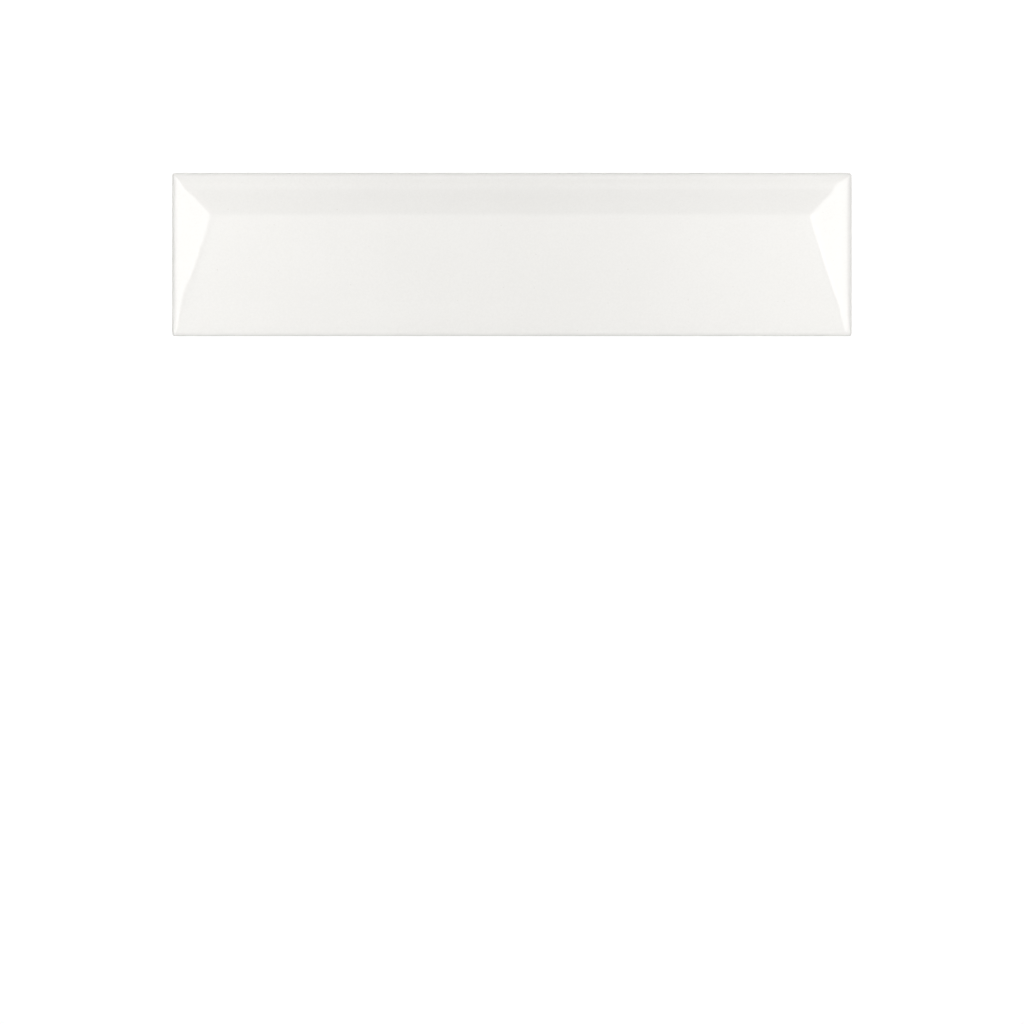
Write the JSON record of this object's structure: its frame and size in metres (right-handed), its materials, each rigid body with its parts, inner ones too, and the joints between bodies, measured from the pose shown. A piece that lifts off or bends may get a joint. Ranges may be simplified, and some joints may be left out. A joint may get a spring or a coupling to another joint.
{
  "type": "ceramic wall tile",
  "caption": "Glossy white oblong ceramic wall tile with an off-centre raised ridge, hipped ends and a keyed back for adhesive.",
  "frame": {"origin": "centre of the back of the tile, on the plane of its ribs", "axes": "+X along the length, +Y across the width towards the ridge, +Z out of the wall through the glazed face"},
  "size_m": [0.25, 0.06, 0.0109],
  "materials": {
    "glazed_body": "gloss"
  },
  "bodies": {
    "root": {"wall_tile": "glazed_body"}
  },
  "joints": []
}
